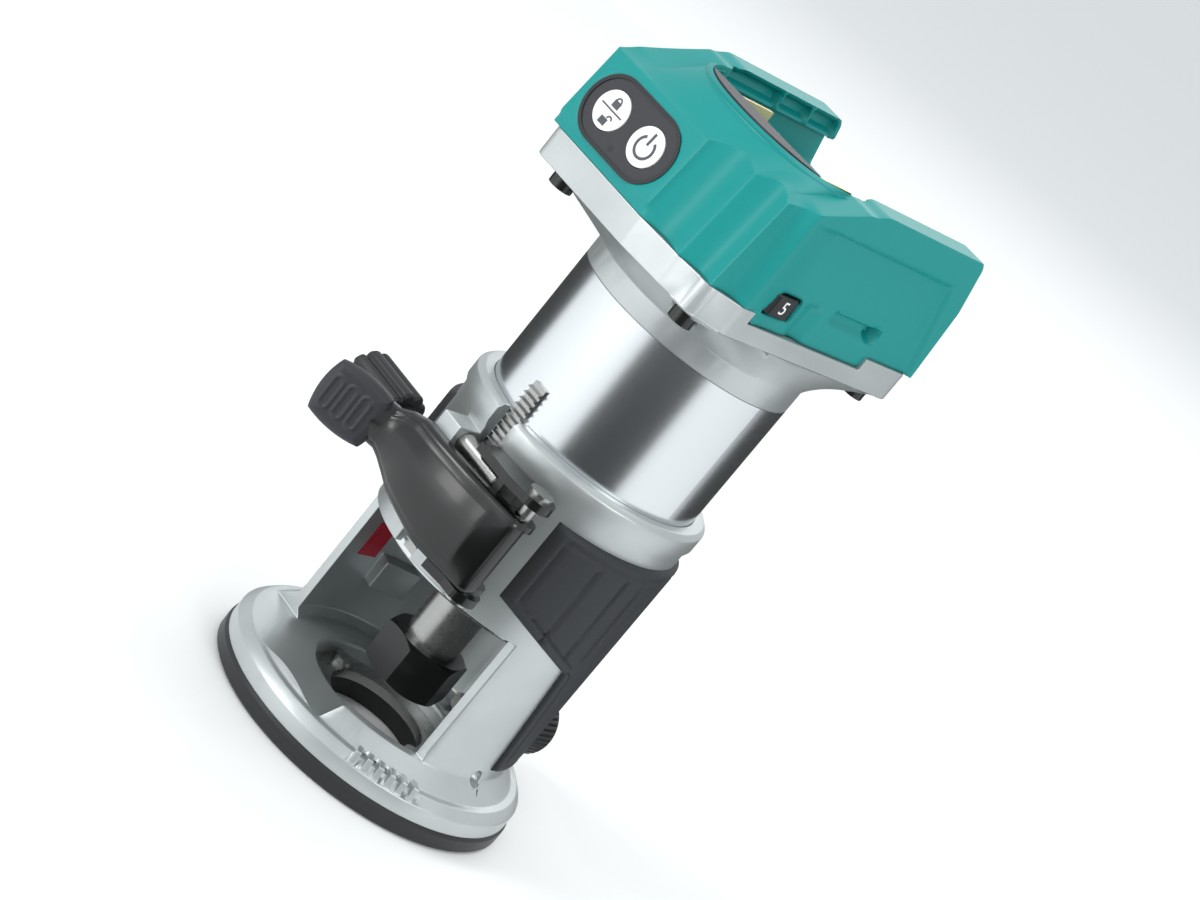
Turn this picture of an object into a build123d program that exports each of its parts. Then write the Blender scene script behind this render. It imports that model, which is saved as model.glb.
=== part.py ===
"""Cordless trim router: a motor unit held part-way up in a clamp base.

Millimetres. +Z runs up the spindle axis and the origin is the centre of the sole's bottom
face. The front (window, clamp lever, button panel) faces -Y, the speed dial faces +X, and
the battery slides in from +Y onto the rails on top of the head.
"""
import os
from math import cos, pi, radians, sin, tan

from build123d import *

# ---- driving dimensions --------------------------------------------------------------
sole_r, sole_t = 46.6, 5.0            # plastic sole plate
sole_hole_r = 15.0                    # cutter opening
foot_r, foot_top = 46.0, 12.0         # cast foot above the sole
wall_r, wall_in_r = 36.0, 33.4        # casting's tube
collar_top, collar_r = 103.0, 37.0    # clamp collar's rounded lip
window_low, window_top = 17.0, 57.0   # front opening of the casting
window_y = -15.8                      # plane of the two pillar faces
barrel_r, barrel_in_r = 32.5, 30.5    # motor tube, the usual 65 mm motor body
barrel_low, barrel_top = 55.0, 141.6
bore_clear = 0.08                     # sliding fit of the tube in the collar
run_clear = 0.06                      # running fit of pins and shafts
slot_half = 3.6                       # split in the front of the collar

rack_module, pinion_teeth = 0.6, 16
pinion_r = rack_module * pinion_teeth / 2
rack_pitch_y = -34.0                  # pitch line of the rack on the tube
rack_low, rack_top = 57.0, 112.6
shaft_y, shaft_z = rack_pitch_y - pinion_r, 79.5
shaft_r = 2.0

pin_x, pin_y, pin_r = 23.0, -36.0, 2.2       # lever's hinge pin
clamp_y, clamp_z, clamp_r = -38.5, 89.5, 2.7  # steel barrel across the split
lever_t = 2.0
lever_low, lever_top = 65.0, 88.0
pad_dir = (0.83, 0.56)                # along the thumb pad, in plan
pad_mid = (-26.0, -56.2)              # middle of the pad's front face
pad_w, pad_h, pad_t, pad_z = 19.0, 18.0, 5.2, 78.0

guide_z, guide_r = 15.0, 3.0          # guide clamp screw at the back of the foot
head_half, head_rear = 35.25, 40.6    # head's half width and its rear end
head_front = -51.4                    # front at its foot, behind the raised button face
# Ridges of the front right, from the end of the flat part to the straight side.
front_corners = [(4.8, -51.4), (19.0, -49.4), (30.0, -46.5), (35.25, -37.0)]
flute_depth = 1.9
head_low, head_top = 165.5, 201.5
head_wall, cradle_z = 3.0, 186.0
lean = 8.0                            # front face leans back, degrees
crest_y = -20.0                       # middle of the cradle's round front
panel_sink = 1.2                      # side panels' depth
panel_corners = [(-24, 160), (-24, 192.1), (22.7, 192.1), (30, 189.8), (36, 176), (38, 160)]

sole_screw_spots = [(30.2 * a, 27.2 * b) for a in (1, -1) for b in (1, -1)]
head_screw_spots = [(-27, -43), (27, -43), (-28, 34), (28, 34)]
foot_hole_angle, foot_hole_z, foot_hole_r = 5.0, 17.5, 2.1

LOW = (Align.CENTER, Align.CENTER, Align.MIN)
os.makedirs("parts", exist_ok=True)


def save(builder, name):
    """Label a finished piece and write it as its own STEP file."""
    builder.part.label = name
    export_step(builder.part, f"parts/{name}.step")


def polar(radius, degrees, z=0.0):
    """A point at a radius and an angle about the spindle axis."""
    return (radius * cos(radians(degrees)), radius * sin(radians(degrees)), z)


def disc(low, high, radius, plane=Plane.XY):
    """A free cylinder on a plane's normal axis, from one height to another."""
    return plane.offset(low) * Cylinder(radius, high - low, align=LOW, mode=Mode.PRIVATE)


def ring(low, high, outer, inner):
    """A free ring about the spindle axis, from one height to another."""
    return disc(low, high, outer) - disc(low, high, inner)


# ---- sole plate and its four countersunk screws ---------------------------------------
with BuildPart() as sole_screws:
    with Locations(*[(x, y, 0.6) for x, y in sole_screw_spots]):
        Cone(3.9, 2.0, 2.2, align=LOW)
        Cylinder(2.0, 10.4, align=LOW)
        Box(4.4, 0.9, 1.2, align=LOW, mode=Mode.SUBTRACT)
        Box(0.9, 4.4, 1.2, align=LOW, mode=Mode.SUBTRACT)
save(sole_screws, "sole_screws")

with BuildPart() as sole_plate:
    Cylinder(sole_r, sole_t, align=LOW)
    chamfer(sole_plate.edges().filter_by(GeomType.CIRCLE), 0.8)
    Cylinder(sole_hole_r, sole_t, align=LOW, mode=Mode.SUBTRACT)
    with Locations(*[(x, y, 0) for x, y in sole_screw_spots]):
        Cylinder(3.9, 0.6, align=LOW, mode=Mode.SUBTRACT)
    with Locations(*[(x, y, 0.6) for x, y in sole_screw_spots]):
        Cone(3.9, 2.0, 2.2, align=LOW, mode=Mode.SUBTRACT)
        Cylinder(2.0, sole_t, align=LOW, mode=Mode.SUBTRACT)
save(sole_plate, "sole_plate")

# Steel guide ring, dropped into the foot above the sole.
with BuildPart() as guide_ring:
    add(ring(sole_t, 7.6, 22.0, sole_hole_r))
    with Locations((18.5, 0, sole_t), (-18.5, 0, sole_t)):
        Cylinder(1.6, 3, align=LOW, mode=Mode.SUBTRACT)
save(guide_ring, "guide_ring")

with BuildPart() as guide_ring_screws:
    with Locations((18.5, 0, sole_t), (-18.5, 0, sole_t)):
        Cylinder(1.6, 2.6, align=LOW)
    with Locations((18.5, 0, 7.6), (-18.5, 0, 7.6)):
        Cylinder(3.0, 1.6, align=LOW)
        Cylinder(1.5, 1.0, align=LOW, mode=Mode.SUBTRACT)
save(guide_ring_screws, "guide_ring_screws")

# ---- base casting: foot, tube and split clamp collar -----------------------------------
with BuildPart() as base_casting:
    with BuildSketch(Plane.XZ):
        Polygon(
            (22.2, sole_t), (foot_r, sole_t), (foot_r, 9.5), (43.5, foot_top), (41.5, foot_top),
            (36.6, 17.0), (wall_r, 20.0), (wall_r, 95.0), (collar_r, 97.0), (collar_r, 101.6),
            (35.6, collar_top), (barrel_r + bore_clear, collar_top), (barrel_r + bore_clear, 62.0),
            (wall_in_r, 60.5), (wall_in_r, 14.0), (31.4, foot_top), (23.0, foot_top), (22.2, 11.0),
            align=None)
    revolve(axis=Axis.Z)
    # Lugs on both sides of the split, which the shaft and the clamp barrel cross.
    with Locations(((-11 - slot_half) / 2, -37.25, 70)):
        Box(11 - slot_half, 12.5, 23, align=LOW)
    with Locations(((13 + slot_half) / 2, -36.5, 66)):
        Box(13 - slot_half, 9, 20, align=LOW)
    # Scalloped grip ribs on the foot's bevel.
    for step in range(6):
        with Locations(Location(polar(43.4, -50 + 4.6 * step, 9.5), (0, 0, -50 + 4.6 * step))):
            Box(4.4, 1.7, 4.2, align=LOW)
    # Boss for the guide clamp screw.
    with BuildSketch(Plane.XZ.offset(-33)):
        with Locations((0, guide_z)):
            Circle(7)
    extrude(amount=-13)
    # Bore, front window and the split.
    add(disc(foot_top, 14, 31.4), mode=Mode.SUBTRACT)
    add(disc(14, 60.5, wall_in_r), mode=Mode.SUBTRACT)
    add(disc(60, 110, barrel_r + bore_clear), mode=Mode.SUBTRACT)
    with BuildSketch(Plane.XZ.offset(-window_y)):
        with Locations((0, (window_low + window_top) / 2)):
            RectangleRounded(2 * wall_r + 6, window_top - window_low, 4)
    extrude(amount=40, mode=Mode.SUBTRACT)
    with Locations((-30, window_y - 12, foot_top)):
        Box(90, 24, 9, align=LOW, mode=Mode.SUBTRACT)
    with Locations((0, -45, window_top - 4)):
        Box(2 * slot_half, 27, 60, align=LOW, mode=Mode.SUBTRACT)
    # Inner block beside the red key, and the pocket that the key sits in.
    with Locations(Location(polar(31.2, 164, 26), (0, 0, 164))):
        Box(5.4, 12, 9, align=LOW)
    with Locations(Location(polar(34.5, 184, 33), (0, 0, 184))):
        Box(8, 7, 11, align=LOW, mode=Mode.SUBTRACT)
    # Holes: shaft, clamp barrel, sole screws, guide screw and the side's threaded hole.
    with BuildSketch(Plane.YZ.offset(-20)):
        with Locations((shaft_y, shaft_z)):
            Circle(shaft_r + run_clear)
        with Locations((clamp_y, clamp_z)):
            Circle(clamp_r)
    extrude(amount=40, mode=Mode.SUBTRACT)
    with Locations(*[(x, y, 0) for x, y in sole_screw_spots]):
        Cylinder(2.0, 11.0, align=LOW, mode=Mode.SUBTRACT)
    with BuildSketch(Plane.XZ.offset(-20)):
        with Locations((0, guide_z)):
            Circle(guide_r + 0.08)
    extrude(amount=-40, mode=Mode.SUBTRACT)
    hole_plane = Plane(polar(31, foot_hole_angle, foot_hole_z), z_dir=polar(1, foot_hole_angle))
    with BuildSketch(hole_plane):
        Circle(foot_hole_r)
    extrude(amount=12, mode=Mode.SUBTRACT)
    with Locations((18.5, 0, 7.4), (-18.5, 0, 7.4)):
        Cylinder(3.4, 6, align=LOW, mode=Mode.SUBTRACT)
save(base_casting, "base_casting")

with BuildPart() as red_key:
    with Locations(Location(polar(34.5, 184, 33), (0, 0, 184))):
        Box(8, 7, 11, align=LOW)
    add(ring(30, 50, 60, wall_r - 0.3), mode=Mode.SUBTRACT)
    add(disc(30, 50, wall_in_r - 0.4), mode=Mode.SUBTRACT)
save(red_key, "red_key")


# ---- rubber grips on both sides of the casting ------------------------------------------
def side_grip(side):
    """A grip pad wrapped on the casting, cut to its outline as seen from the side."""
    with BuildPart() as pad:
        with BuildSketch(Plane.YZ):
            Polygon((-25.6, 91), (-25.6, 66), (2.6, 55), (7.8, 20), (24, 20), (27, 34),
                    (28.8, 91), align=None)
        extrude(amount=side * 45)
        fillet(pad.edges().filter_by(Axis.X), 2.5)
        add(ring(10, 98, 37.6, wall_r), mode=Mode.INTERSECT)
    return pad


right_grip = side_grip(1)
save(right_grip, "right_grip")
left_grip = side_grip(-1)
save(left_grip, "left_grip")


# ---- lever hinge: bracket, pin and the barrel across the split ---------------------------
with BuildPart() as clamp_barrel:
    with BuildSketch(Plane.YZ.offset(-11)):
        with Locations((clamp_y, clamp_z)):
            Circle(clamp_r)
    extrude(amount=24)
    chamfer(clamp_barrel.edges().filter_by(GeomType.CIRCLE), 0.4)
save(clamp_barrel, "clamp_barrel")

with BuildPart() as lever_pin:
    with Locations((pin_x, pin_y, 60.3)):
        Cylinder(3.4, 1.2, align=LOW)
        Cylinder(pin_r, 35.4, align=LOW)
    with Locations((pin_x, pin_y, 94.8)):
        Cylinder(3.4, 1.4, align=LOW)
save(lever_pin, "lever_pin")

with BuildPart() as link_bracket:
    # Upper plate: strap over the clamp barrel, running out to an ear around the pin.
    with BuildSketch(Plane.XY.offset(92.3)):
        Polygon((3.9, -43), (17, -43), (24.5, -41), (24.5, -31), (13, -33), (3.9, -33), align=None)
        with Locations((pin_x, pin_y)):
            Circle(5.0)
    extrude(amount=2.5)
    # Lower ear.
    with BuildSketch(Plane.XY.offset(61.5)):
        Polygon((13.3, -43), (20, -41), (24.5, -41), (24.5, -31), (13.3, -33), align=None)
        with Locations((pin_x, pin_y)):
            Circle(5.0)
    extrude(amount=2.5)
    # Web that joins them, beside the right lug.
    with Locations((14.55, -37, 61.5)):
        Box(2.5, 8, 33.3, align=LOW)
    with Locations((pin_x, pin_y, 60)):
        Cylinder(pin_r, 40, align=LOW, mode=Mode.SUBTRACT)
    Cylinder(wall_r + 0.3, 200, align=LOW, mode=Mode.SUBTRACT)
    with BuildSketch(Plane.YZ.offset(10)):
        with Locations((shaft_y, shaft_z)):
            Circle(shaft_r + 0.6)
    extrude(amount=10, mode=Mode.SUBTRACT)
save(link_bracket, "link_bracket")

# ---- clamp lever and its thumb pad --------------------------------------------------------
along = Vector(*pad_dir, 0).normalized()
pad_plane = Plane(origin=(*pad_mid, pad_z), x_dir=along, z_dir=(along.Y, -along.X, 0))
tongue_end = Vector(*pad_mid, 0) - along * 6 - pad_plane.z_dir * 2.6

with BuildPart() as clamp_lever:
    # Curved pressed sheet, as a strip of constant thickness seen from above.
    with BuildSketch(Plane.XY.offset(lever_low)):
        with BuildLine():
            bend = Spline((25, -41.8), (11, -45.8), (-2, -47.3), (-12, -47.2), (-18, -48.1),
                          tangents=[(-1, -0.2), (-along.X, -along.Y)])
            Line(bend @ 1, tongue_end)
        trace(line_width=lever_t)
    extrude(amount=lever_top - lever_low)
    # Outline of the sheet as seen from the front: it narrows towards the pad.
    with BuildSketch(Plane.XZ.offset(20)):
        Polygon((30, lever_low), (8, lever_low), (-7, 68.5), (-14, 71), (-17, 72.5), (-45, 73),
                (-45, 84.5), (-17, 84.5), (-15, 86.5), (-12, lever_top), (30, lever_top), align=None)
    extrude(amount=60, mode=Mode.INTERSECT)
    # Flanges turned inwards along both edges, which end as ears around the pin.
    for level in (lever_low, lever_top - lever_t):
        with BuildSketch(Plane.XY.offset(level)):
            Polygon((25, -42.4), (17, -44.6), (9, -46.6), (9, -44.6), (17.4, -41.6), (19.0, -34.2),
                    (24, -31.8), (27, -34.2), align=None)
            with Locations((pin_x, pin_y)):
                Circle(4.4)
        extrude(amount=lever_t)
    with BuildSketch(Plane.XY.offset(lever_top - lever_t)):
        Polygon((9, -46.6), (-2, -48), (-11, -48), (-11, -44.8), (9, -44.6), align=None)
    extrude(amount=lever_t)
    with Locations((pin_x, pin_y, 60)):
        Cylinder(pin_r + run_clear, 40, align=LOW, mode=Mode.SUBTRACT)
save(clamp_lever, "clamp_lever")

with BuildPart() as lever_pad:
    with BuildSketch(pad_plane):
        RectangleRounded(pad_w, pad_h, 4.5)
    extrude(amount=-pad_t)
    fillet(lever_pad.faces().sort_by(Axis(pad_plane.origin, pad_plane.z_dir))[-1].edges(), 1.2)
    with BuildSketch(pad_plane):
        for step in (-1, 0, 1):
            with Locations((4.6 * step - 1.5, 0)):
                SlotOverall(9.6, 2.6, rotation=90)
    extrude(amount=0.4)
    add(clamp_lever.part, mode=Mode.SUBTRACT)
save(lever_pad, "lever_pad")

# ---- height adjuster: knob, shaft, pinion and nut -----------------------------------------
shaft_plane = Plane((0, shaft_y, shaft_z), x_dir=(0, 1, 0), z_dir=(1, 0, 0))

with BuildPart() as pinion_shaft:
    add(disc(-40, 17, shaft_r, shaft_plane))
    add(disc(17, 20.3, shaft_r - 0.4, shaft_plane))
save(pinion_shaft, "pinion_shaft")

with BuildPart() as height_knob:
    add(disc(-43, -24, 8.0, shaft_plane))
    chamfer(height_knob.edges().filter_by(GeomType.CIRCLE), 1.0)
    with BuildSketch(shaft_plane.offset(-43)):
        with PolarLocations(8.3, 12):
            Circle(0.9)
    extrude(amount=19, mode=Mode.SUBTRACT)
    add(disc(-24, -21.5, 4.5, shaft_plane))
    add(disc(-40, -20, shaft_r, shaft_plane), mode=Mode.SUBTRACT)
save(height_knob, "height_knob")

pitch = pi * rack_module
backlash = 0.16
half_tooth = pitch / 4 - backlash
slope = tan(radians(20))


def pinion_profile():
    """Corner points of the pinion: straight-sided teeth narrowed from root to tip."""
    points = []
    for tooth in range(pinion_teeth):
        middle = 2 * pi * tooth / pinion_teeth
        for radius, half in (
                (pinion_r - 1.1 * rack_module, half_tooth + 0.30),
                (pinion_r, half_tooth),
                (pinion_r + 0.85 * rack_module, half_tooth - 0.26)):
            points.append((middle - half / radius, radius))
        for radius, half in (
                (pinion_r + 0.85 * rack_module, half_tooth - 0.26),
                (pinion_r, half_tooth),
                (pinion_r - 1.1 * rack_module, half_tooth + 0.30)):
            points.append((middle + half / radius, radius))
    return [(radius * cos(angle), radius * sin(angle)) for angle, radius in points]


with BuildPart() as drive_pinion:
    # A tooth points at the rack (+Y) when the rack has a gap at the shaft's height.
    with BuildSketch(shaft_plane.offset(-2.9)):
        Polygon(*pinion_profile(), align=None)
    extrude(amount=5.8)
    add(disc(-4, 4, shaft_r, shaft_plane), mode=Mode.SUBTRACT)
save(drive_pinion, "drive_pinion")

with BuildPart() as shaft_nut:
    with BuildSketch(shaft_plane.offset(17)):
        RegularPolygon(3.2, 6)
        Circle(shaft_r - 0.4, mode=Mode.SUBTRACT)
    extrude(amount=3)
save(shaft_nut, "shaft_nut")

# ---- guide clamp screw with its knob and washer ---------------------------------------------
guide_plane = Plane((0, 0, guide_z), x_dir=(1, 0, 0), z_dir=(0, 1, 0))

with BuildPart() as guide_screw:
    add(disc(27.5, 58, guide_r, guide_plane))
    chamfer(guide_screw.edges().filter_by(GeomType.CIRCLE).sort_by(Axis.Y)[0], 0.8)
save(guide_screw, "guide_screw")

with BuildPart() as guide_knob:
    add(disc(48, 61.5, 10.0, guide_plane))
    chamfer(guide_knob.edges().filter_by(GeomType.CIRCLE), 1.2)
    with BuildSketch(guide_plane.offset(48)):
        with PolarLocations(10.3, 30):
            Circle(0.62)
    extrude(amount=14, mode=Mode.SUBTRACT)
    add(disc(47.4, 48, 5.0, guide_plane))
    add(disc(47, 58, guide_r, guide_plane), mode=Mode.SUBTRACT)
save(guide_knob, "guide_knob")

with BuildPart() as guide_washer:
    add(disc(46.3, 47.4, 7.0, guide_plane))
    add(disc(46, 48, guide_r, guide_plane), mode=Mode.SUBTRACT)
save(guide_washer, "guide_washer")

# ---- motor tube with its rack -----------------------------------------------------------------
with BuildPart() as rack:
    root_y, tip_y = rack_pitch_y + 0.7, rack_pitch_y - 0.5
    root_half, tip_half = half_tooth + 0.7 * slope, half_tooth - 0.5 * slope
    with BuildSketch(Plane.YZ.offset(-2.4)):
        Polygon((root_y, rack_low), (-31.3, rack_low), (-31.3, rack_top), (root_y, rack_top),
                align=None)
        for step in range(-11, 17):
            z = shaft_z + (step + 0.5) * pitch
            Polygon((root_y, z - root_half), (root_y, z + root_half), (tip_y, z + tip_half),
                    (tip_y, z - tip_half), align=None)
    extrude(amount=4.8)
save(rack, "rack")

with BuildPart() as motor_tube:
    add(ring(barrel_low, barrel_top, barrel_r, barrel_in_r))
    chamfer(motor_tube.edges().filter_by(GeomType.CIRCLE).sort_by(Axis.Z)[0:2], 0.5)
    with Locations((0, -33.8, rack_low)):
        Box(4.8, 5, rack_top - rack_low, align=LOW, mode=Mode.SUBTRACT)
save(motor_tube, "motor_tube")

# ---- motor inside the tube ----------------------------------------------------------------------
with BuildPart() as bearing_carrier:
    with BuildSketch(Plane.XZ):
        Polygon((9.6, 50.5), (19, 50.5), (21, 52.5), (21, 56), (barrel_in_r, 57), (barrel_in_r, 65),
                (17, 65), (17, 62.2), (16, 62.2), (16, 53), (9.6, 53), align=None)
    revolve(axis=Axis.Z)
save(bearing_carrier, "bearing_carrier")

with BuildPart() as bearing_retainer:
    add(ring(62.2, 64.2, 17.0, 12.5))
save(bearing_retainer, "bearing_retainer")


def ball_bearing(low, width, outer, inner, balls):
    """A deep-groove bearing about the spindle: two races and the balls between them."""
    middle, gap = (outer + inner) / 2, (outer - inner) * 0.2
    with BuildPart() as bearing:
        add(ring(low, low + width, outer, middle + gap))
        add(ring(low, low + width, middle - gap, inner))
        with Locations((0, 0, low + width / 2)):
            with PolarLocations(middle, balls):
                Sphere(gap - 0.02)
    return bearing


lower_bearing = ball_bearing(53, 9, 16.0, 7.5, 9)
save(lower_bearing, "lower_bearing")
upper_bearing = ball_bearing(146, 7, 11.0, 4.0, 7)
save(upper_bearing, "upper_bearing")

with BuildPart() as stator_core:
    add(ring(80, 118, barrel_in_r, 25.5))
    with PolarLocations(0, 6):
        with Locations((22, 0, 80)):
            Box(8.4, 6, 38, align=LOW)
    with PolarLocations(0, 6):
        with Locations((19.3, 0, 80)):
            Box(2.0, 13, 38, align=LOW)
    Cylinder(17.6, 200, align=LOW, mode=Mode.SUBTRACT)
save(stator_core, "stator_core")

with BuildPart() as stator_coils:
    with PolarLocations(0, 6):
        with Locations((22.6, 0, 76.5)):
            Box(4.4, 11, 45, align=LOW)
    add(stator_core.part, mode=Mode.SUBTRACT)
    with PolarLocations(0, 6):
        with Locations((22.6, 0, 79.5)):
            Box(4.6, 6, 39, align=LOW, mode=Mode.SUBTRACT)
save(stator_coils, "stator_coils")

with BuildPart() as spindle:
    with BuildSketch(Plane.XZ):
        Polygon((6.2, 24), (7.9, 24), (7.9, 52.6), (7.44, 52.6), (7.44, 64), (6, 66), (6, 142),
                (3.94, 144), (3.94, 153.5), (0, 153.5), (0, 42), (4.7, 40), (4.7, 38), align=None)
    revolve(axis=Axis.Z)
save(spindle, "spindle")

with BuildPart() as rotor_core:
    add(ring(79, 119, 14.0, 6.0))
save(rotor_core, "rotor_core")

with BuildPart() as rotor_magnets:
    add(ring(81, 117, 16.4, 14.0))
    with PolarLocations(15.5, 4):
        Box(6, 1.2, 300, mode=Mode.SUBTRACT)
save(rotor_magnets, "rotor_magnets")

with BuildPart() as cooling_fan:
    add(ring(124, 135, 9.0, 6.0))
    add(ring(124, 125.6, 21.0, 9.0))
    with PolarLocations(14.6, 13):
        with Locations(Location((0, 0, 125.6), (0, 0, 24))):
            Box(12, 1.2, 8, align=LOW)
save(cooling_fan, "cooling_fan")

with BuildPart() as collet:
    with BuildSketch(Plane.XZ):
        Polygon((3.18, 19.8), (5.4, 19.8), (5.4, 21.2), (7.4, 21.2), (7.4, 23.4), (6.2, 24), (4.7, 38),
                (3.18, 38), align=None)
    revolve(axis=Axis.Z)
    with PolarLocations(5, 4):
        with Locations((0, 0, 16)):
            Box(6, 0.7, 18, align=LOW, mode=Mode.SUBTRACT)
save(collet, "collet")

with BuildPart() as collet_nut:
    with BuildSketch(Plane.XY.offset(19)):
        RegularPolygon(12.7, 6, rotation=-67)
    extrude(amount=13)
    with BuildSketch(Plane.XZ):
        Polygon((11.0, 18), (11.0, 19), (12.9, 20.2), (12.9, 30.8), (11.0, 32), (0, 32), (0, 18),
                align=None)
    revolve(axis=Axis.Z, mode=Mode.INTERSECT)
    with BuildSketch(Plane.XZ):
        Polygon((0, 18), (5.5, 18), (5.5, 21.2), (7.5, 21.2), (7.5, 23.6), (7.9, 24), (7.9, 33),
                (0, 33), align=None)
    revolve(axis=Axis.Z, mode=Mode.SUBTRACT)
save(collet_nut, "collet_nut")

# ---- head: cast neck bracket that carries the plastic head ---------------------------------------


def head_plan(inset=0.0):
    """The head's outline from above: flat front left, swept front right, square rear."""
    with BuildSketch() as plan:
        Polygon((-head_half, head_front), *front_corners, (head_half, head_rear),
                (-head_half, head_rear), align=None)
        offset(amount=-inset, kind=Kind.INTERSECTION)
    return plan.sketch


with BuildPart() as neck_bracket:
    with BuildSketch(Plane.XY.offset(barrel_top)):
        Circle(barrel_r)
    extrude(amount=7)
    with BuildSketch(Plane.XY.offset(148)):
        Circle(barrel_r)
    with BuildSketch(Plane.XY.offset(157)):
        with Locations((0, (head_rear + head_front) / 2 + 1.5)):
            RectangleRounded(2 * head_half - 2, head_rear - head_front - 4, 8)
    loft()
    with BuildSketch(Plane.XY.offset(157)):
        add(head_plan(0.4))
    extrude(amount=head_low - 157)
    fillet(neck_bracket.edges().filter_by(Axis.Z).group_by(Axis.Z)[-1], 4)
    # Spigot into the motor tube, hollow above and below the bearing web.
    add(ring(136, barrel_top, barrel_in_r, 27.5))
    add(disc(barrel_top, 144.6, 27.5), mode=Mode.SUBTRACT)
    with BuildSketch(Plane.XY.offset(158.5)):
        add(head_plan(3.2))
    extrude(amount=10, mode=Mode.SUBTRACT)
    with BuildSketch(Plane.XY.offset(153)):
        Circle(24)
        Circle(13, mode=Mode.SUBTRACT)
    extrude(amount=6, mode=Mode.SUBTRACT)
    Cylinder(11, 153, align=LOW, mode=Mode.SUBTRACT)
    Cylinder(6, 200, align=LOW, mode=Mode.SUBTRACT)
    # Posts for the head screws, their counterbores below, and the holes for the motor leads.
    with Locations(*[(x, y, 157) for x, y in head_screw_spots]):
        Cylinder(4.2, head_low - 157, align=LOW)
    with Locations(*[(x, y, 140) for x, y in head_screw_spots]):
        Cylinder(3.9, 16.5, align=LOW, mode=Mode.SUBTRACT)
        Cylinder(1.9, 40, align=LOW, mode=Mode.SUBTRACT)
    with Locations(*[polar(24.5, a, 130) for a in (70, 90, 110)]):
        Cylinder(1.6, 40, align=LOW, mode=Mode.SUBTRACT)
    # The casting steps down under the dial on the +X side.
    with Locations((head_half, -5.8, 162.0)):
        Box(6.4, 50.8, 10, align=LOW, mode=Mode.SUBTRACT)
save(neck_bracket, "neck_bracket")

# ---- teal head housing ---------------------------------------------------------------------------
pod_plane = Plane(origin=(-15.5, -50.4, 177.8), x_dir=(1, 0, 0),
                  z_dir=(0, -cos(radians(lean)), sin(radians(lean))))
pod_length, pod_width = 32.4, 17.0
dial_x, dial_y, dial_low, dial_high, dial_r = 25.2, -24.0, 166.2, 172.2, 10.5

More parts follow.
